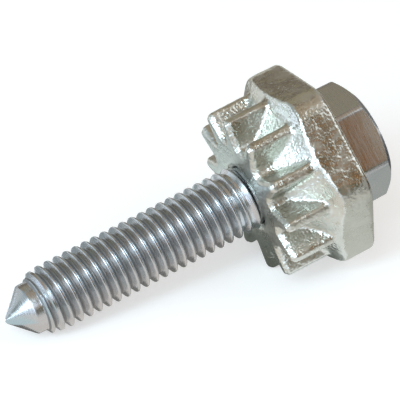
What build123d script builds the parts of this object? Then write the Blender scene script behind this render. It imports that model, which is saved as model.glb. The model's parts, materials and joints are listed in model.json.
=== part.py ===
from build123d import *
import math
import os

# Alternator tension bolt: an M8 locking bolt with a 13 mm hexagon head that carries a captive
# tensioning pinion. A 22 mm spanner turns the pinion's hexagon, its teeth walk along the toothed
# bracket and tighten the belt, and the bolt then locks it. Millimetres, +Z up.
#
# Each piece is drawn about its own axis: Z = 0 is the bearing face under the bolt's head and +Z
# runs towards the tip. Both are then laid down as the loose part comes to rest on a table, on the
# start of the thread, one corner of the big hexagon and one tooth, with the tip towards -X.

# ---- locking bolt ----
THREAD_DIA = 8.0            # M8, modelled at its major diameter
BOLT_LENGTH = 43.0          # under the head to the tip
POINT_LENGTH = 4.0          # plain point ahead of the thread
POINT_DIA = 6.1             # below the thread's core, so the point finds the hole
POINT_ANGLE = 88.0          # included angle of the cone
NOSE_RADIUS = 0.6           # rounding of the cone's tip
LEAD_ANGLE = 58.0           # chamfer where the thread starts, from the bolt's axis
NECK_DIA = 7.1              # thread-rolling blank, left plain inside the pinion
HEAD_ACROSS_FLATS = 13.0
HEAD_HEIGHT = 5.4
HEAD_CORNER_RADIUS = 1.0    # rounding of the six upright corners
HEAD_CROWN_DIA = 11.3       # flat left by the 30 degree chamfer on the head
HEAD_CROWN_ANGLE = 30.0
HEAD_FILLET = 0.35          # under the head, where it meets the neck
HEAD_TURN = -6.8            # head's corners against the pinion's, in degrees, as they stand at rest

# ---- tensioning pinion ----
TEETH = 12
MODULE = 1.5                # pitch diameter 18, outside diameter 21
TOOTH_THICKNESS = 1.9       # on the pitch circle
FLANK_ANGLE = 10.5          # each flank against the tooth's own middle line
TOOTH_LENGTH = 6.0          # front face to the hexagon's face
TIP_CORNER_RADIUS = 0.4
ROOT_FILLET = 0.45
FRONT_CHAMFER = 0.4         # broken edge all round the front face
RUNOUT_RADIUS = 13.0        # hollow sweep of the gaps' floors up to the hexagon
RUNOUT_LENGTH = 4.4         # along the axis, from where the sweep starts inside the teeth's root
RUNOUT_FLARE = 0.1          # height of the run-out over the tooth tips at the hexagon
PINION_ACROSS_FLATS = 22.0
HEX_THICKNESS = 4.8
HEX_CORNER_RADIUS = 4.0
HEX_CROWN_ANGLE = 30.0      # chamfer on the side of the teeth, from the foot of the run-out
HEX_REAR_CHAMFER = 0.2      # broken edge on the side of the bolt's head
TOOTH_FROM_CORNER = 25.0    # a tooth's middle against a corner of the hexagon, in degrees
BORE_CHAMFER = 0.5

# ---- fit of the pinion on the bolt ----
RUNNING_GAP = 0.08          # radial, neck to bore
END_GAP = 0.1               # at each end of the pinion

TIP_DIA = MODULE * (TEETH + 2)
PITCH_DIA = MODULE * TEETH
ROOT_DIA = MODULE * (TEETH - 2.5)
RUNOUT_DIA = TIP_DIA + 2 * RUNOUT_FLARE
BORE_DIA = NECK_DIA + 2 * RUNNING_GAP
PINION_LENGTH = HEX_THICKNESS + TOOTH_LENGTH
NECK_LENGTH = PINION_LENGTH + 2 * END_GAP
SINK = 0.5                  # depth by which a fused form starts inside its neighbour


def tan(degrees):
    return math.tan(math.radians(degrees))


def hexagon_block(across_flats, corner_radius, height, crown_dia, crown_angle):
    """A hexagon from Z = 0 up, one corner on +X, its top chamfered down to a round flat."""
    outline = RegularPolygon(across_flats / 2, 6, major_radius=False, rotation=0)
    block = extrude(fillet(outline.vertices(), corner_radius), height)
    crown, rim = crown_dia / 2, across_flats
    crown_side = Polyline(
        (0, 0),
        (rim, 0),
        (rim, height - (rim - crown) * tan(crown_angle)),
        (crown, height),
        (0, height),
        close=True,
    )
    return block & revolve(Plane.XZ * make_face(crown_side), Axis.Z)


# ---------------------------------------------------------------- locking bolt
def shank():
    """Neck, thread, plain point and rounded cone, turned about the axis."""
    neck, thread, point = NECK_DIA / 2, THREAD_DIA / 2, POINT_DIA / 2
    half = POINT_ANGLE / 2
    lead = (thread - point) / tan(LEAD_ANGLE)
    shoulder = (thread - neck) / tan(LEAD_ANGLE)
    thread_end = BOLT_LENGTH - POINT_LENGTH
    # The nose is an arc that leaves the cone without a step.
    nose_radial = NOSE_RADIUS * math.cos(math.radians(half))
    nose_rise = NOSE_RADIUS * (1 - math.sin(math.radians(half)))
    cone_base = BOLT_LENGTH - nose_rise - (point - nose_radial) / tan(half)
    nose_start = (nose_radial, BOLT_LENGTH - nose_rise)
    side = Polyline(
        (0, -SINK),
        (neck, -SINK),
        (neck, NECK_LENGTH),
        (thread, NECK_LENGTH + shoulder),
        (thread, thread_end - lead),
        (point, thread_end),
        (point, cone_base),
        nose_start,
    )
    nose = RadiusArc(nose_start, (0, BOLT_LENGTH), -NOSE_RADIUS)
    axis = Line((0, BOLT_LENGTH), (0, -SINK))
    return revolve(Plane.XZ * make_face([side, nose, axis]), Axis.Z)


def head():
    """Hexagon head under Z = 0, crowned at the end that a socket meets."""
    block = hexagon_block(
        HEAD_ACROSS_FLATS,
        HEAD_CORNER_RADIUS,
        HEAD_HEIGHT,
        HEAD_CROWN_DIA,
        HEAD_CROWN_ANGLE,
    )
    return Rot(Z=HEAD_TURN) * Rot(X=180) * block


def locking_bolt():
    body = head() + shank()
    circles = body.edges().filter_by(GeomType.CIRCLE).filter_by_position(Axis.Z, -0.01, 0.01)
    under_head = [e for e in circles if math.isclose(e.radius, NECK_DIA / 2)]
    return fillet(under_head, HEAD_FILLET)


# ---------------------------------------------------------- tensioning pinion
def tooth():
    """One straight-flanked tooth on +X, from inside the root circle out past the tip circle."""
    inner, outer = ROOT_DIA / 2 - SINK, TIP_DIA / 2 + SINK
    slope = tan(FLANK_ANGLE)
    half_inner = TOOTH_THICKNESS / 2 + (PITCH_DIA / 2 - inner) * slope
    half_outer = TOOTH_THICKNESS / 2 - (outer - PITCH_DIA / 2) * slope
    flanks = Polyline(
        (inner, -half_inner),
        (outer, -half_outer),
        (outer, half_outer),
        (inner, half_inner),
        close=True,
    )
    return make_face(flanks) & Circle(TIP_DIA / 2)


def toothed_section():
    """All the teeth on the root circle, with rounded roots and tips."""
    one = tooth()
    section = Circle(ROOT_DIA / 2)
    for i in range(TEETH):
        section += Rot(Z=TOOTH_FROM_CORNER + i * 360 / TEETH) * one
    corners = section.vertices()
    tips = [v for v in corners if v.center().length > PITCH_DIA / 2]
    section = fillet(tips, TIP_CORNER_RADIUS)
    roots = [v for v in section.vertices() if v.center().length < ROOT_DIA / 2 + 0.01]
    return fillet(roots, ROOT_FILLET)


def toothed_end():
    """The teeth, whose gaps sweep up in a hollow curve to the hexagon's face, at Z = 0."""
    teeth = extrude(toothed_section(), TOOTH_LENGTH)
    front = teeth.faces().sort_by(Axis.Z)[-1]
    teeth = chamfer(front.edges(), FRONT_CHAMFER)
    foot, low = RUNOUT_DIA / 2, ROOT_DIA / 2 - SINK
    sweep_up = RadiusArc((low, RUNOUT_LENGTH), (foot, 0), -RUNOUT_RADIUS)
    core = Polyline(
        (foot, 0),
        (foot, -SINK),
        (0, -SINK),
        (0, RUNOUT_LENGTH),
        (low, RUNOUT_LENGTH),
    )
    return teeth + revolve(Plane.XZ * make_face([sweep_up, core]), Axis.Z)


def spanner_hexagon():
    """The 22 mm hexagon, crowned towards the teeth from the foot of their run-out."""
    block = hexagon_block(
        PINION_ACROSS_FLATS,
        HEX_CORNER_RADIUS,
        HEX_THICKNESS,
        RUNOUT_DIA,
        HEX_CROWN_ANGLE,
    )
    return chamfer(block.faces().sort_by(Axis.Z)[0].edges(), HEX_REAR_CHAMFER)


def bore():
    """Running bore with a chamfer at each mouth."""
    r, wide = BORE_DIA / 2, BORE_DIA / 2 + BORE_CHAMFER
    side = Polyline(
        (0, -SINK),
        (wide + SINK, -SINK),
        (r, BORE_CHAMFER),
        (r, PINION_LENGTH - BORE_CHAMFER),
        (wide + SINK, PINION_LENGTH + SINK),
        (0, PINION_LENGTH + SINK),
        close=True,
    )
    return revolve(Plane.XZ * make_face(side), Axis.Z)


def tensioning_pinion():
    body = spanner_hexagon() + Pos(Z=HEX_THICKNESS) * toothed_end()
    return Pos(Z=END_GAP) * (body - bore())


# ------------------------------------------------------------ how it lies down
def down(tilt, roll):
    """The way down, seen in the pieces' own frame: the axis tilts by tilt, tip lowest."""
    flat = math.cos(math.radians(tilt))
    return (
        flat * math.cos(math.radians(roll)),
        flat * math.sin(math.radians(roll)),
        math.sin(math.radians(tilt)),
    )


def lowest_between(height, low, high):
    """Where a height that falls and then rises is least."""
    for _ in range(24):
        third = (high - low) / 3
        if height(low + third) < height(high - third):
            high -= third
        else:
            low += third
    return (low + high) / 2


def rest_angles(shapes):
    """Tilt and roll at which the centre of mass is lowest, between a corner and the next tooth."""
    centre = Compound(shapes).center(CenterOf.MASS)
    points = {tuple(p - centre) for s in shapes for p in s.tessellate(0.01, 0.2)[0]}

    def height(tilt, roll):
        x, y, z = down(tilt, roll)
        return max(px * x + py * y + pz * z for px, py, pz in points)

    def best_tilt(roll):
        return lowest_between(lambda tilt: height(tilt, roll), 0, 45)

    roll = lowest_between(lambda r: height(best_tilt(r), r), 0, TOOTH_FROM_CORNER)
    return best_tilt(roll), roll


def lying(shapes):
    """The shapes as they rest on Z = 0, tip towards -X, centred over the origin."""
    tilt, roll = rest_angles(shapes)
    sin, cos = math.sin(math.radians(tilt)), math.cos(math.radians(tilt))
    lie = Plane(origin=(0, 0, 0), x_dir=(sin, 0, -cos), z_dir=(-cos, 0, -sin)).location
    laid = [lie * Rot(Z=-roll) * s for s in shapes]
    box = Compound(laid).bounding_box()
    middle = box.center()
    return [Pos(-middle.X, -middle.Y, -box.min.Z) * s for s in laid]


pieces = lying([locking_bolt(), tensioning_pinion()])
os.makedirs("parts", exist_ok=True)
for name, piece in zip(("locking_bolt", "tensioning_pinion"), pieces):
    piece.label = name
    export_step(piece, f"parts/{name}.step")
    print(name, round(piece.volume), "mm3, valid", piece.is_valid)
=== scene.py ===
import json
import math

import bmesh
import bpy
from mathutils import Matrix, Vector, noise


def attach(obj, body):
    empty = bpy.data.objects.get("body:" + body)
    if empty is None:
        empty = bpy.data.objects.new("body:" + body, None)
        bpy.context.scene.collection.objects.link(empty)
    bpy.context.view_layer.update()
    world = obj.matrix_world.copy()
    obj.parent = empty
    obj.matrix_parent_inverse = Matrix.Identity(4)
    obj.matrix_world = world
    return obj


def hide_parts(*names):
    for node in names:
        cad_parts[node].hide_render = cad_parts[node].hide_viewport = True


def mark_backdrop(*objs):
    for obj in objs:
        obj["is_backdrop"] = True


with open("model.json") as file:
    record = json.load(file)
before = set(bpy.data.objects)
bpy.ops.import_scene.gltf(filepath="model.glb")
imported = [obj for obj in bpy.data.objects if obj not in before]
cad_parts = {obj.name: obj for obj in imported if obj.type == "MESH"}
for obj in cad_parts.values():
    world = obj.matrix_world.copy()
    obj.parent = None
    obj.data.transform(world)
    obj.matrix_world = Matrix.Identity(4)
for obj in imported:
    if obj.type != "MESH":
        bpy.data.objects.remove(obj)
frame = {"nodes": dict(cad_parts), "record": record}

# Alternator tension bolt: an M8 locking bolt and the toothed tensioning pinion that turns on it.
# Each piece is made in millimetres in the bolt's own frame, then laid where the CAD has it. There
# Z = 0 is the bearing face under the bolt's head, +Z runs to the tip, and +X goes out through the
# middle of one of the pinion's teeth.

MM = 0.001
SEAM = 1e-3                     # how near two open edges lie that are made to meet
WELD = 1e-4                     # and two corners that are one

# ---- locking bolt, as in the CAD ----
HEAD_ACROSS_FLATS = 13.0
HEAD_HEIGHT = 5.4
HEAD_CORNER_RADIUS = 1.0
HEAD_CROWN_RADIUS = 5.65
HEAD_CROWN_ANGLE = 30.0
HEAD_FILLET = 0.35              # under the head, where it meets the neck
HEAD_BARREL = 0.1               # by which the trimmed sides fall away towards both ends
HEAD_RINGS = (0.15, 0.9, 1.7, 2.5, 3.3, 4.1)    # depths below Z = 0 at which the sides can bend
HEAD_END_RIM = 0.6              # width of the flat end's outermost ring
HEAD_CORNER_AT = -31.8          # a corner of the bolt's hexagon, in degrees from the tooth on +X
NECK_RADIUS = 3.55
NECK_END = 11.0
NECK_RING = 0.2                 # length of the neck's last ring, next to the thread
THREAD_RADIUS = 4.0
THREAD_END = 39.0
THREAD_MIDDLE = (NECK_END + THREAD_END) / 2
LEAD_ANGLE = 58.0               # the chamfer at the start of the thread, from the axis
POINT_RADIUS = 3.05
POINT_STEP = 0.1                # length of the step from the thread's end to the plain point
TIP_AT = 43.0
CONE_HALF_ANGLE = 44.0
CONE_EDGE = 0.12                # what the rounding between point and cone takes of each of them
CONE_EDGE_MIDDLE = (0.03, 0.02)     # how far in and how far back that rounding's middle lies
NOSE_RADIUS = 0.6
# ---- the M8 x 1.25 thread, which only this script cuts ----
PITCH = 1.25
FLANK_ANGLE = 30.0              # each flank against a plane square to the axis
PITCH_RADIUS = 3.639
CREST_ROUNDING = 0.185
ROOT_ROUNDING = 0.2
ROOT_RADIUS = PITCH_RADIUS - PITCH / 4 * math.sqrt(3) + ROOT_ROUNDING
THREAD_FADE = 0.3               # length over which the rolled thread dies out at the neck
RISEN_ROOT_RADIUS = 3.81        # of the thread's root at the neck, where the rolling begins
ROOT_RISE_LENGTH = 3.0          # over which it rises to that from its full depth
THREAD_START_TURN = 60.0        # degrees by which the thread is turned about the axis
WEAK_CREST_RADIUS = 3.66        # of the unfinished first turn
WEAK_CREST_RISE = 0.15          # and how fast the next crests grow to full height
STEPS_PER_TURN = 72
# ---- tensioning pinion ----
HEXAGON_FRONT = 4.9             # where the 22 mm hexagon ends and the teeth begin
TEETH_FREE = 6.5                # from here on the gaps between the teeth are deep
PINION_FRONT = 10.9
FACE_EDGE = 0.4                 # a turned face ends within this of the pinion's ends
FLAT_NORMAL = 0.9               # the least share of its normal that points along the axis
BORE_RADIUS = 3.63
BORE_EASE = 0.05                # by which the softened bore is opened to clear the neck
REAMED_WALL = 0.3               # the skin is machined smooth within this of the bore
FORGED_VOXEL = 0.155            # fine enough for the rounding of the forged edges
EDGE_ROUNDING_PASSES = 16
LUMP_HEIGHT = 0.09              # of the forged skin's orange peel
LUMP_SIZE = 0.9
GRAIN_HEIGHT = 0.045            # of the finer grain on top of it
GRAIN_SIZE = 0.38
# ---- finishes ----
RING_SPACING = 0.125            # of the fine rings that the dies leave round the bolt
RING_SWEEP = 2.0                # how far round the bolt each of them runs
RING_DEPTH = 0.01
BOLT_PATCHES_PER_MM = 0.45      # of the soft patches in the bolt's tint
PINION_PATCHES_PER_MM = 0.4     # and in the pinion's
ROOT_SHADE_AND_DULL_REACH = 0.07                # how far the painted shade and the dull plating reach up from the thread's root
ROOT_DULLNESS = 0.35            # how much rougher it is there
GAP_DULLNESS = 0.04             # how much rougher the plating is between the teeth
SPARKLE_SIZE = 0.3              # of the bright grains in the forged skin
SPARKLE_ON_HEXAGON = 0.04       # their height on the hexagon
SPARKLE_ON_TEETH = 0.08         # and on the teeth


# ------------------------------------------------------------------ places
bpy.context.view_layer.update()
mounts = {mount["name"]: mount for mount in frame["record"]["mounts"]}
AXIS = Vector(mounts["thread"]["axis"]).normalized()
TOOTH = Vector(mounts["pinion_teeth"]["axis"]).normalized()
HEAD_MIDDLE = Vector(mounts["bolt_hexagon"]["pos_m"])
UNDER_HEAD = HEAD_MIDDLE + AXIS * (HEAD_HEIGHT / 2 * MM)


def own_to_scene():
    """Matrix from the bolt's own frame in millimetres to the scene's frame in metres."""
    turn = Matrix((TOOTH, AXIS.cross(TOOTH), AXIS)).transposed().to_4x4()
    return Matrix.Translation(UNDER_HEAD) @ turn @ Matrix.Scale(MM, 4)


def tan(degrees):
    return math.tan(math.radians(degrees))


def toward(azimuth, elevation):
    """Unit vector seen from the object: azimuth 0 is -Y and grows towards +X."""
    a, e = math.radians(azimuth), math.radians(elevation)
    return Vector((math.sin(a) * math.cos(e), -math.cos(a) * math.cos(e), math.sin(e)))


# ------------------------------------------------------------------ materials
def paint(hex_code):
    """An sRGB hex colour as the linear colour that the shaders take."""
    channels = [int(hex_code[i:i + 2], 16) / 255 for i in (1, 3, 5)]
    linear = [c / 12.92 if c <= 0.04045 else ((c + 0.055) / 1.055) ** 2.4 for c in channels]
    return (*linear, 1.0)


def add(tree, kind, settings=None, links=None):
    """Adds a node. Settings are properties or inputs' values, and links join outputs to inputs."""
    made = tree.nodes.new(kind)
    for name, value in (settings or {}).items():
        if isinstance(name, int) or name in made.inputs:
            made.inputs[name].default_value = value
        else:
            setattr(made, name, value)
    for name, output in (links or {}).items():
        tree.links.new(output, made.inputs[name])
    return made


def new_material(name):
    """An empty node material and its shader tree."""
    material = bpy.data.materials.new(name)
    material.use_nodes = True
    material.node_tree.nodes.clear()
    return material, material.node_tree


def own_coordinates(tree):
    """Object coordinates turned into the bolt's own frame, in millimetres."""
    place = add(tree, "ShaderNodeTexCoord")
    back = own_to_scene().inverted()
    turn = back.to_3x3().normalized().to_euler()
    return add(
        tree,
        "ShaderNodeMapping",
        {"vector_type": "POINT", "Location": back.translation, "Rotation": turn, "Scale": (1 / MM,) * 3},
        {"Vector": place.outputs["Object"]},
    ).outputs["Vector"]


def patchy_tint(tree, cloud, darker, lighter):
    """Soft patches of two near tones, where the plating lies thinner and thicker."""
    tint = add(tree, "ShaderNodeValToRGB", None, {"Fac": cloud.outputs["Fac"]})
    for stop, position, tone in zip(tint.color_ramp.elements, (0.35, 0.65), (darker, lighter)):
        stop.position = position
        stop.color = paint(tone)
    return tint.outputs["Color"]


def metal_surface(tree, colour, roughness, bump):
    """Ends a material in bare metal of a colour, a roughness and a relief."""
    shader = add(
        tree,
        "ShaderNodeBsdfPrincipled",
        {"Metallic": 1.0},
        {"Base Color": colour, "Roughness": roughness, "Normal": bump.outputs["Normal"]},
    )
    add(tree, "ShaderNodeOutputMaterial", None, {"Surface": shader.outputs["BSDF"]})


def in_thread_root(tree, place):
    """1 at the bottom of the thread, 0 on its flanks and on the rest of the bolt."""
    across = add(tree, "ShaderNodeVectorMath", {"operation": "MULTIPLY", 1: (1, 1, 0)}, {0: place})
    radius = add(tree, "ShaderNodeVectorMath", {"operation": "LENGTH"}, {0: across.outputs["Vector"]})
    low = add(
        tree,
        "ShaderNodeMapRange",
        {"From Min": ROOT_RADIUS, "From Max": ROOT_RADIUS + ROOT_SHADE_AND_DULL_REACH, "To Min": 1.0, "To Max": 0.0},
        {"Value": radius.outputs["Value"]},
    )
    along = add(tree, "ShaderNodeSeparateXYZ", None, {"Vector": place}).outputs["Z"]
    from_middle = add(tree, "ShaderNodeMath", {"operation": "SUBTRACT", 1: THREAD_MIDDLE}, {0: along})
    span = add(tree, "ShaderNodeMath", {"operation": "ABSOLUTE"}, {0: from_middle.outputs["Value"]})
    threaded = add(
        tree,
        "ShaderNodeMath",
        {"operation": "LESS_THAN", 1: THREAD_END - THREAD_MIDDLE},
        {0: span.outputs["Value"]},
    )
    return add(
        tree,
        "ShaderNodeMath",
        {"operation": "MULTIPLY"},
        {0: low.outputs["Result"], 1: threaded.outputs["Value"]},
    ).outputs["Value"]


def bolt_zinc():
    """Bright zinc with blue passivation on rolled and headed steel: smooth, cold, nearly a mirror."""
    material, tree = new_material("blue_passivated_bright_zinc")
    place = own_coordinates(tree)
    cloud = add(
        tree,
        "ShaderNodeTexNoise",
        {"Scale": BOLT_PATCHES_PER_MM, "Detail": 4.0},
        {"Vector": place},
    )
    tint = patchy_tint(tree, cloud, "#C1C7CB", "#C8CACD")
    # The dies leave fine rings round the axis, drawn a little coarser than they are, so that they show.
    stretch = (1 / RING_SWEEP, 1 / RING_SWEEP, 1 / RING_SPACING)
    rings = add(tree, "ShaderNodeMapping", {"Scale": stretch}, {"Vector": place})
    ring_noise = add(
        tree,
        "ShaderNodeTexNoise",
        {"Scale": 1.0, "Detail": 3.0},
        {"Vector": rings.outputs["Vector"]},
    )
    # In the root of the thread the colour is darkened towards grey as painted shade, and the plating is
    # made duller and rougher.
    root = in_thread_root(tree, place)
    shade = add(
        tree,
        "ShaderNodeMix",
        {"data_type": "RGBA", "B": paint("#909192")},
        {"Factor": root, "A": tint},
    )
    gloss = add(
        tree,
        "ShaderNodeMapRange",
        {"From Min": 0.3, "From Max": 0.7, "To Min": 0.2, "To Max": 0.32},
        {"Value": ring_noise.outputs["Fac"]},
    )
    satin = add(
        tree,
        "ShaderNodeMath",
        {"operation": "MULTIPLY_ADD", 1: ROOT_DULLNESS},
        {0: root, 2: gloss.outputs["Result"]},
    )
    bump = add(
        tree,
        "ShaderNodeBump",
        {"Strength": 0.6, "Distance": RING_DEPTH * MM},
        {"Height": ring_noise.outputs["Fac"]},
    )
    metal_surface(tree, shade.outputs["Result"], satin.outputs["Value"], bump)
    return material


def forged_zinc():
    """Bright zinc over a forged skin: the same plating, warmer, on a finely lumpy surface."""
    material, tree = new_material("bright_zinc_on_forged_steel")
    place = own_coordinates(tree)
    cloud = add(
        tree,
        "ShaderNodeTexNoise",
        {"Scale": PINION_PATCHES_PER_MM, "Detail": 3.0},
        {"Vector": place},
    )
    tint = patchy_tint(tree, cloud, "#C6C7BE", "#D2D3CC")
    gloss = add(
        tree,
        "ShaderNodeMapRange",
        {"From Min": 0.3, "From Max": 0.7, "To Min": 0.2, "To Max": 0.34},
        {"Value": cloud.outputs["Fac"]},
    )
    # Between the teeth the blast and the bath reach less, and the plating stays duller and rougher.
    along = add(tree, "ShaderNodeSeparateXYZ", None, {"Vector": place}).outputs["Z"]
    dull = add(
        tree,
        "ShaderNodeMapRange",
        {"From Min": HEXAGON_FRONT, "From Max": TEETH_FREE, "To Min": 0.0, "To Max": GAP_DULLNESS},
        {"Value": along},
    )
    satin = add(
        tree,
        "ShaderNodeMath",
        {"operation": "ADD"},
        {0: gloss.outputs["Result"], 1: dull.outputs["Result"]},
    )
    sparkle = add(tree, "ShaderNodeTexNoise", {"Scale": 1 / SPARKLE_SIZE, "Detail": 0.0}, {"Vector": place})
    relief = add(
        tree,
        "ShaderNodeMapRange",
        {
            "From Min": HEXAGON_FRONT,
            "From Max": TEETH_FREE,
            "To Min": SPARKLE_ON_HEXAGON * MM,
            "To Max": SPARKLE_ON_TEETH * MM,
        },
        {"Value": along},
    )
    bump = add(
        tree,
        "ShaderNodeBump",
        {"Strength": 1.0},
        {"Height": sparkle.outputs["Fac"], "Distance": relief.outputs["Result"]},
    )
    metal_surface(tree, tint, satin.outputs["Value"], bump)
    return material


# ------------------------------------------------------------------ mesh helpers
def radius_of(vert):
    """Distance of a vertex from the bolt's axis."""
    return vert.co.xy.length


def place_at_radius(vert, radius):
    """Moves a vertex square to the axis until it lies at that radius."""
    scale = radius / radius_of(vert)
    vert.co.x *= scale
    vert.co.y *= scale


def loop_at(bm, height):
    """The open edges that lie at a height."""
    return [e for e in bm.edges if e.is_boundary and all(abs(v.co.z - height) < SEAM for v in e.verts)]


def drawn_copy(bm, loop):
    """Extrudes an open loop in place. Returns the new vertices and the new open loop."""
    made = bmesh.ops.extrude_edge_only(bm, edges=loop)["geom"]
    verts = [g for g in made if isinstance(g, bmesh.types.BMVert)]
    return verts, [g for g in made if isinstance(g, bmesh.types.BMEdge) and g.is_boundary]


def draw_out(bm, loop, radius, height):
    """Draws an open loop out to a radius and a height. Returns the new loop."""
    verts, new_loop = drawn_copy(bm, loop)
    for vert in verts:
        place_at_radius(vert, radius)
        vert.co.z = height
    return new_loop


def lift(bm, loop, height_of):
    """Draws an open loop along the axis to the height that a rule gives each of its vertices."""
    verts, new_loop = drawn_copy(bm, loop)
    for vert in verts:
        vert.co.z = height_of(vert)
    return new_loop


def turn_about_axis(bm, degrees):
    bmesh.ops.rotate(bm, verts=bm.verts, matrix=Matrix.Rotation(math.radians(degrees), 3, "Z"))


def round_corners(bm, corners, offset):
    """Rounds corners of an outline, from that far before each to that far past it."""
    bmesh.ops.bevel(
        bm,
        geom=corners,
        offset=offset,
        segments=6,
        profile=0.5,
        affect="VERTICES",
        material=-1,
    )


def join(bm, other):
    """Adds a second mesh to the first, and frees it."""
    carrier = bpy.data.meshes.new("carrier")
    other.to_mesh(carrier)
    other.free()
    bm.from_mesh(carrier)
    bpy.data.meshes.remove(carrier)


def made_object(bm, name, material):
    """An object in the scene with that mesh and that material."""
    mesh = bpy.data.meshes.new(name)
    bm.to_mesh(mesh)
    bm.free()
    mesh.materials.append(material)
    made = bpy.data.objects.new(name, mesh)
    bpy.context.scene.collection.objects.link(made)
    return made


def finished(bm, name, material, sharp_angle):
    """Lays a piece where the CAD has it, with smooth faces, and crisp edges above an angle."""
    bmesh.ops.transform(bm, matrix=own_to_scene(), verts=bm.verts)
    piece = made_object(bm, name, material)
    piece.data.shade_smooth()
    piece.data.set_sharp_from_angle(angle=math.radians(sharp_angle))
    return piece


# ------------------------------------------------------------------ locking bolt
def thread_outline(bm):
    """One pitch of the 60 degree thread on the XZ plane, from mid flank to mid flank."""
    rise = PITCH / 4 / tan(FLANK_ANGLE)
    flank = [(0, 0), (rise, PITCH / 4), (-rise, 3 * PITCH / 4), (0, PITCH)]
    corners = [bm.verts.new((PITCH_RADIUS + r, 0, z)) for r, z in flank]
    for a, b in zip(corners, corners[1:]):
        bm.edges.new((a, b))
    for corner, rounding in ((corners[1], CREST_ROUNDING), (corners[2], ROOT_ROUNDING)):
        round_corners(bm, [corner], rounding / tan(FLANK_ANGLE))


def threaded_radius(vert):
    """What the rolling leaves at a vertex: less depth at the neck, a lead and weak crests ahead."""
    from_neck = vert.co.z - NECK_END
    risen = RISEN_ROOT_RADIUS - from_neck * (RISEN_ROOT_RADIUS - ROOT_RADIUS) / ROOT_RISE_LENGTH
    height = min(max(from_neck / THREAD_FADE, 0), 1)
    profile = NECK_RADIUS + (max(radius_of(vert), risen) - NECK_RADIUS) * height
    from_end = max(THREAD_END - vert.co.z, 0)
    lead = POINT_RADIUS + from_end * tan(LEAD_ANGLE)
    weak = WEAK_CREST_RADIUS + from_end * WEAK_CREST_RISE
    return min(profile, lead, weak, THREAD_RADIUS)


def rolled_thread(bm):
    """The helix, wound past both of its ends, shaped as the dies leave it and cut to length."""
    thread_outline(bm)
    first = NECK_END - 2 * PITCH
    turns = math.ceil((THREAD_END - first) / PITCH) + 1
    bmesh.ops.translate(bm, verts=bm.verts, vec=(0, 0, first))
    bmesh.ops.spin(
        bm,
        geom=[*bm.verts, *bm.edges],
        cent=(0, 0, 0),
        axis=(0, 0, 1),
        dvec=(0, 0, PITCH / STEPS_PER_TURN),
        angle=math.tau,
        steps=STEPS_PER_TURN,
        use_duplicate=False,
    )
    one_turn = [*bm.verts, *bm.edges, *bm.faces]
    for i in range(1, turns):
        copy = bmesh.ops.duplicate(bm, geom=one_turn)["geom"]
        moved = [g for g in copy if isinstance(g, bmesh.types.BMVert)]
        bmesh.ops.translate(bm, verts=moved, vec=(0, 0, i * PITCH))
    bmesh.ops.remove_doubles(bm, verts=bm.verts, dist=SEAM)
    turn_about_axis(bm, THREAD_START_TURN)
    for vert in bm.verts:
        place_at_radius(vert, threaded_radius(vert))
    for height, outward in ((NECK_END, -1), (THREAD_END, 1)):
        bmesh.ops.bisect_plane(
            bm,
            geom=[*bm.verts, *bm.edges, *bm.faces],
            plane_co=(0, 0, height),
            plane_no=(0, 0, outward),
            clear_outer=True,
        )


def point_and_cone(bm):
    """The plain point ahead of the thread, its cone and the rounded nose."""
    half = math.radians(CONE_HALF_ANGLE)
    nose_rim = NOSE_RADIUS * math.cos(half)
    nose_at = TIP_AT - NOSE_RADIUS * (1 - math.sin(half))
    cone_base = nose_at - (POINT_RADIUS - nose_rim) / math.tan(half)
    inwards, back = CONE_EDGE_MIDDLE
    loop = draw_out(bm, loop_at(bm, THREAD_END), POINT_RADIUS, THREAD_END + POINT_STEP)
    loop = draw_out(bm, loop, POINT_RADIUS, cone_base - CONE_EDGE)
    loop = draw_out(bm, loop, POINT_RADIUS - inwards, cone_base - back)
    loop = draw_out(
        bm,
        loop,
        POINT_RADIUS - CONE_EDGE * math.sin(half),
        cone_base + CONE_EDGE * math.cos(half),
    )
    loop = draw_out(bm, loop, (POINT_RADIUS + nose_rim) / 2, (cone_base + nose_at) / 2)
    steps = 5
    for i in range(steps):
        angle = half + (math.pi / 2 - half) * i / steps
        height = TIP_AT - NOSE_RADIUS * (1 - math.sin(angle))
        loop = draw_out(bm, loop, NOSE_RADIUS * math.cos(angle), height)
    rim = drawn_copy(bm, loop)[0]
    bmesh.ops.pointmerge(bm, verts=rim, merge_co=(0, 0, TIP_AT))


def plain_neck(bm):
    """The neck inside the pinion, with the fillet under the head."""
    loop = draw_out(bm, loop_at(bm, NECK_END), NECK_RADIUS, NECK_END - NECK_RING)
    steps = 4
    for i in range(steps + 1):
        angle = math.pi / 2 * i / steps
        radius = NECK_RADIUS + HEAD_FILLET * (1 - math.cos(angle))
        loop = draw_out(bm, loop, radius, HEAD_FILLET * (1 - math.sin(angle)))


def crown_height(vert):
    """Where the crown meets the upright side of the head."""
    return -HEAD_HEIGHT + (radius_of(vert) - HEAD_CROWN_RADIUS) * tan(HEAD_CROWN_ANGLE)


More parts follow.
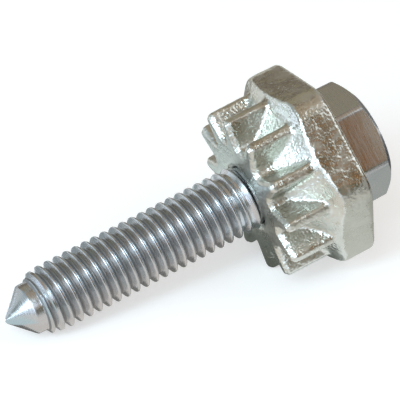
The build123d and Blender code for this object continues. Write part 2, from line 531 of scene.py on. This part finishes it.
def bolt_head(bm):
    """The hexagon head: rounded corners, barrelled sides, and the crown at its outer end."""
    half_side = 180 / 6         # degrees from the middle of a side to a corner
    corner_radius = HEAD_ACROSS_FLATS / 2 / math.cos(math.radians(half_side))
    bmesh.ops.create_circle(bm, segments=6, radius=corner_radius)
    round_corners(bm, bm.verts[:], HEAD_CORNER_RADIUS * tan(half_side))
    sides = [e for e in bm.edges if e.calc_length() > 2 * HEAD_CORNER_RADIUS]
    bmesh.ops.subdivide_edges(bm, edges=sides, cuts=12)
    # The circle's first corner is made on +Y.
    turn_about_axis(bm, HEAD_CORNER_AT - 90)
    loop = bm.edges[:]
    for depth in HEAD_RINGS:
        loop = lift(bm, loop, lambda vert: -depth)
    loop = lift(bm, loop, crown_height)
    for vert in bm.verts:
        off_middle = (vert.co.z + HEAD_HEIGHT / 2) / (HEAD_HEIGHT / 2)
        place_at_radius(vert, radius_of(vert) - HEAD_BARREL * off_middle ** 2)
    for radius in (HEAD_CROWN_RADIUS, HEAD_CROWN_RADIUS - HEAD_END_RIM, HEAD_CROWN_RADIUS / 2):
        loop = draw_out(bm, loop, radius, -HEAD_HEIGHT)
    bmesh.ops.contextual_create(bm, geom=loop)


def locking_bolt():
    """Head, neck, thread and point as one closed skin."""
    bm = bmesh.new()
    bolt_head(bm)
    shank = bmesh.new()
    rolled_thread(shank)
    point_and_cone(shank)
    plain_neck(shank)
    join(bm, shank)
    bmesh.ops.bridge_loops(bm, edges=loop_at(bm, 0))
    bmesh.ops.remove_doubles(bm, verts=bm.verts, dist=WELD)
    bmesh.ops.recalc_face_normals(bm, faces=bm.faces)
    piece = finished(bm, "zinc_plated_locking_bolt", bolt_zinc(), 32)
    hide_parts("locking_bolt")
    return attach(piece, "bolt")


# ------------------------------------------------------------------ tensioning pinion
def pinion_blank():
    """The CAD's pinion in the bolt's own frame, with its loose triangles joined."""
    bm = bmesh.new()
    bm.from_mesh(frame["nodes"]["tensioning_pinion"].data)
    bmesh.ops.transform(bm, matrix=own_to_scene().inverted(), verts=bm.verts)
    bmesh.ops.remove_doubles(bm, verts=bm.verts, dist=WELD)
    mesh = bpy.data.meshes.new("pinion_blank")
    bm.to_mesh(mesh)
    bm.free()
    return mesh


def even_skin(blank):
    """The same shape as one even skin of small quads."""
    block = bpy.data.objects.new("forging_blank", blank)
    bpy.context.scene.collection.objects.link(block)
    skin = block.modifiers.new("skin", "REMESH")
    skin.mode = "VOXEL"
    skin.voxel_size = FORGED_VOXEL
    graph = bpy.context.evaluated_depsgraph_get()
    mesh = bpy.data.meshes.new_from_object(block.evaluated_get(graph))
    bpy.data.objects.remove(block)
    bm = bmesh.new()
    bm.from_mesh(mesh)
    return bm


def orange_peel(point):
    """Depth of the forged skin at a point in millimetres, never above the true surface."""
    lumps = noise.noise(point / LUMP_SIZE)
    grain = noise.noise(point / GRAIN_SIZE + Vector((7, 3, 5)))
    return LUMP_HEIGHT * (lumps - 1) / 2 + GRAIN_HEIGHT * (grain - 1) / 2


def is_machined(vert):
    """Whether a vertex lies on a turned end face or near the reamed bore."""
    at_an_end = not FACE_EDGE < vert.co.z < PINION_FRONT - FACE_EDGE
    turned = at_an_end and abs(vert.normal.z) > FLAT_NORMAL
    return turned or radius_of(vert) < BORE_RADIUS + REAMED_WALL


def forge(bm):
    """Rounds every edge as a forging's are, then gives the skin its orange peel."""
    for _ in range(EDGE_ROUNDING_PASSES):
        bmesh.ops.smooth_vert(
            bm,
            verts=bm.verts,
            factor=0.5,
            use_axis_x=True,
            use_axis_y=True,
            use_axis_z=True,
        )
    bm.normal_update()
    for vert in bm.verts:
        if not is_machined(vert):
            vert.co += vert.normal * orange_peel(vert.co)
    for vert in bm.verts:
        if radius_of(vert) < BORE_RADIUS + BORE_EASE:
            place_at_radius(vert, BORE_RADIUS + BORE_EASE)


def tensioning_pinion():
    """The CAD's pinion with a forged skin, smooth on its turned faces and in its bore."""
    bm = even_skin(pinion_blank())
    forge(bm)
    piece = finished(bm, "zinc_plated_tensioning_pinion", forged_zinc(), 180)
    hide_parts("tensioning_pinion")
    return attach(piece, "pinion")


# ------------------------------------------------------------------ studio
STUDIO_CENTRE = Vector((0, 0, 0.01))
TABLE_SIZE = 4.0
TABLE_GLOW = 0.5                # lifts the table to paper white where it is seen
WORLD_LIGHT = 0.52              # of the plain soft light all round
MAT_HEIGHT = 0.0002

# Cards that stand round the object: name, azimuth, elevation, distance, width and height, colour.
CARDS = (
    ("ceiling", 0, 90, 1.0, (0.9, 0.9), "#B8A48C"),
    ("dark_screen", 2, 18, 0.8, (0.5, 0.34), "#5C5A3C"),
    ("brown_bench", 8, 36, 0.8, (0.5, 0.28), "#8C5208"),
    ("bench_end_towards_the_tip", -5, 36, 0.7, (0.13, 0.16), "#CDB592"),
    ("bench_end_towards_the_head", 25, 36, 0.7, (0.12, 0.16), "#D2C6AC"),
    ("beige_wall", 8, 53, 0.8, (0.5, 0.2), "#786448"),
    ("warm_wall", 88, 22, 0.9, (1.6, 0.75), "#8C7B69"),
    ("dim_wall_behind", 176, 12, 0.9, (0.9, 0.32), "#7B7064"),
    ("lit_wall_behind", 176, 40, 0.9, (0.9, 0.55), "#A89E86"),
    ("pale_wall_behind", -130, 12, 0.9, (0.75, 0.4), "#DCE3E3"),
    ("grey_screen_behind", -111, 10, 0.8, (0.2, 0.25), "#8C9694"),
    ("brown_beam_above", 176, 66, 0.85, (0.22, 0.2), "#644834"),
    ("upper_wall_behind", -130, 41, 0.9, (0.6, 0.42), "#ADBCC8"),
)

# Mats that lie side by side on the table: name, lower corner, upper corner, colour, brightness.
MATS = (
    ("window_gleam", (-0.6, -0.5), (-0.075, 0.4), "#DFECFF", 2.2),
    ("table_edge_at_the_tip", (-0.075, -0.15), (-0.051, 0.06), "#3E4A48", 1.0),
    ("dark_table_end", (0.061, -0.6), (0.6, 0.006), "#352A20", 1.0),
    ("bright_table_behind", (-0.075, 0.061), (0.6, 0.5), "#DAD8CC", 1.0),
    ("card_in_front", (-0.05, -0.17), (0.06, -0.061), "#DAD8D2", 1.0),
    ("card_before_the_pinion", (0.009, -0.06), (0.06, -0.031), "#DAD8D2", 1.0),
    ("card_before_the_hexagon", (0.0165, -0.03), (0.0245, -0.0051), "#DDE0DC", 1.0),
    ("card_before_the_head", (0.0246, -0.03), (0.06, -0.0011), "#BEC0BA", 1.0),
    ("card_before_the_thread", (-0.05, -0.06), (0.0049, -0.0061), "#F0EAE4", 1.05),
    ("card_before_the_shank", (-0.024, -0.006), (0.0049, -0.0019), "#EEE6DE", 1.0),
    ("card_under_the_tip", (-0.05, -0.006), (-0.0241, 0.0029), "#DEF2F4", 1.0),
    ("shade_under_the_shank", (-0.024, -0.0018), (0.0049, 0.0029), "#7E7C78", 1.0),
    ("shade_under_the_pinion", (0.005, -0.007), (0.0164, 0.0059), "#6E7470", 1.0),
    ("shade_under_the_hexagon", (0.0165, -0.005), (0.0245, 0.0059), "#7A7670", 1.0),
    ("shade_under_the_head", (0.0246, -0.001), (0.06, 0.0059), "#7A7670", 1.0),
    ("card_behind_the_front", (0.0016, 0.0101), (0.0079, 0.024), "#E6F6F8", 1.1),
    ("shadow_behind_the_pinion", (0.008, 0.006), (0.06, 0.028), "#4A4C50", 1.0),
    ("shade_behind_the_hexagon", (0.008, 0.0281), (0.08, 0.06), "#807A72", 1.0),
    ("shade_behind_the_shank", (-0.042, 0.0131), (0.0015, 0.036), "#A2AAAC", 1.0),
    ("reflector_behind_the_bolt", (-0.048, 0.003), (-0.014, 0.013), "#F0F6FA", 1.9),
)


def facing(away, along):
    """Turn whose Z axis is away from the object and whose Y axis lies as near to along as it can."""
    long_side = (along - away * along.dot(away)).normalized()
    return Matrix((long_side.cross(away), long_side, away)).transposed().to_4x4()


def softbox(name, azimuth, elevation, distance, size, radiance, colour, along=Vector((0, 0, 1))):
    """A rectangular soft lamp that faces the object. Radiance 1 looks white in a mirror."""
    data = bpy.data.lights.new(name, "AREA")
    data.shape = "RECTANGLE"
    data.size, data.size_y = size
    data.energy = radiance * math.pi * size[0] * size[1]
    data.color = paint(colour)[:3]
    lamp = bpy.data.objects.new(name, data)
    away = toward(azimuth, elevation)
    lamp.matrix_world = Matrix.Translation(STUDIO_CENTRE + away * distance) @ facing(away, along)
    bpy.context.scene.collection.objects.link(lamp)


def flat_sheet(name, place, material):
    """A square metre that the matrix stretches and lays or stands in its place."""
    bm = bmesh.new()
    bmesh.ops.create_grid(bm, x_segments=1, y_segments=1, size=0.5)
    bmesh.ops.transform(bm, matrix=place, verts=bm.verts)
    return made_object(bm, name, material)


def glowing_board(name, place, size, colour, glow):
    """A flat board of plain colour for the metal to mirror. The camera doesn't see it."""
    material, tree = new_material(name + "_board")
    shader = add(tree, "ShaderNodeEmission", {"Color": paint(colour), "Strength": glow})
    add(tree, "ShaderNodeOutputMaterial", None, {"Surface": shader.outputs["Emission"]})
    board = flat_sheet(name, place @ Matrix.Diagonal((*size, 1, 1)), material)
    board.visible_camera = False
    board.visible_shadow = False
    return board


def reflecting_card(name, azimuth, elevation, distance, size, colour):
    """A board that stands facing the object."""
    away = toward(azimuth, elevation)
    # The slight lean towards +Y settles which way a card straight overhead is turned.
    place = Matrix.Translation(STUDIO_CENTRE + away * distance) @ facing(away, Vector((0, 0.01, 1)))
    glowing_board(name, place, size, colour, 1.0)


def table_mat(name, low, high, colour, glow):
    """A board that lies on the table between two corners, seen in the metal alone."""
    middle = Vector(((low[0] + high[0]) / 2, (low[1] + high[1]) / 2, MAT_HEIGHT))
    size = (high[0] - low[0], high[1] - low[1])
    mat = glowing_board(name, Matrix.Translation(middle), size, colour, glow)
    mat.visible_diffuse = False


def studio_floor():
    """White matt table. To the camera and in the metal it is paper white, with the soft shadow kept."""
    material, tree = new_material("matt_white_table")
    path = add(tree, "ShaderNodeLightPath")
    seen = add(
        tree,
        "ShaderNodeMath",
        {"operation": "MAXIMUM"},
        {0: path.outputs["Is Camera Ray"], 1: path.outputs["Is Glossy Ray"]},
    )
    shown = add(
        tree,
        "ShaderNodeMath",
        {"operation": "MAXIMUM"},
        {0: seen.outputs["Value"], 1: path.outputs["Is Transmission Ray"]},
    )
    glow = add(
        tree,
        "ShaderNodeMath",
        {"operation": "MULTIPLY", 1: TABLE_GLOW},
        {0: shown.outputs["Value"]},
    )
    matt = add(tree, "ShaderNodeBsdfDiffuse", {"Color": paint("#D0D0D0")})
    lit = add(
        tree,
        "ShaderNodeEmission",
        {"Color": paint("#FFFFFF")},
        {"Strength": glow.outputs["Value"]},
    )
    both = add(tree, "ShaderNodeAddShader", None, {0: matt.outputs["BSDF"], 1: lit.outputs["Emission"]})
    add(tree, "ShaderNodeOutputMaterial", None, {"Surface": both.outputs["Shader"]})
    floor = flat_sheet("studio_table", Matrix.Diagonal((TABLE_SIZE, TABLE_SIZE, 1, 1)), material)
    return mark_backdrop(floor)


def studio_world():
    """White all round to the camera, and a plain soft light for the rest."""
    world = bpy.data.worlds.new("studio")
    world.use_nodes = True
    tree = world.node_tree
    tree.nodes.clear()
    path = add(tree, "ShaderNodeLightPath")
    strength = add(
        tree,
        "ShaderNodeMapRange",
        {"To Min": WORLD_LIGHT, "To Max": 1.0},
        {"Value": path.outputs["Is Camera Ray"]},
    )
    sky = add(
        tree,
        "ShaderNodeBackground",
        {"Color": paint("#FFFFFF")},
        {"Strength": strength.outputs["Result"]},
    )
    add(tree, "ShaderNodeOutputWorld", None, {"Surface": sky.outputs["Background"]})
    bpy.context.scene.world = world


def studio_camera():
    """Long lens above the tip's side of the bolt, so that the lines stay nearly parallel."""
    azimuth, elevation, roll = -30.33, 36.43, 1.85
    distance, frame_width = 0.6, 46.14 * MM
    aim = Vector((1.81, 1.43, 10.35)) * MM
    back = toward(azimuth, elevation)
    level = Vector((0, 0, 1)).cross(back).normalized()
    rise = back.cross(level)
    lean = math.radians(roll)
    right = level * math.cos(lean) + rise * math.sin(lean)
    data = bpy.data.cameras.new("studio_camera")
    data.sensor_width = 36
    data.lens = data.sensor_width * distance / frame_width
    data.clip_start, data.clip_end = 0.01, 10
    camera = bpy.data.objects.new("studio_camera", data)
    turn = Matrix((right, back.cross(right), back)).transposed().to_4x4()
    camera.matrix_world = Matrix.Translation(aim + back * distance) @ turn
    bpy.context.scene.collection.objects.link(camera)
    bpy.context.scene.camera = camera


def studio():
    """Table, world, camera, three lamps, and what stands and lies round the metal."""
    studio_floor()
    studio_world()
    studio_camera()
    softbox("window_at_the_tip", -55, 32, 0.8, (0.9, 0.7), 1.5, "#DBEBFF")
    # The bright strip slants up from low down beside the tip to high above the camera.
    slant = toward(-30, 59) - toward(-91, 2)
    softbox("bright_window_frame", -69, 32, 0.8, (0.16, 1.0), 9.0, "#D4F0FA", slant)
    softbox("overhead_softbox", 58, 53, 0.8, (0.4, 0.5), 1.5, "#EEF7FF")
    for card in CARDS:
        reflecting_card(*card)
    for mat in MATS:
        table_mat(*mat)
    bpy.context.scene.view_settings.view_transform = "Standard"


studio()
locking_bolt()
tensioning_pinion()
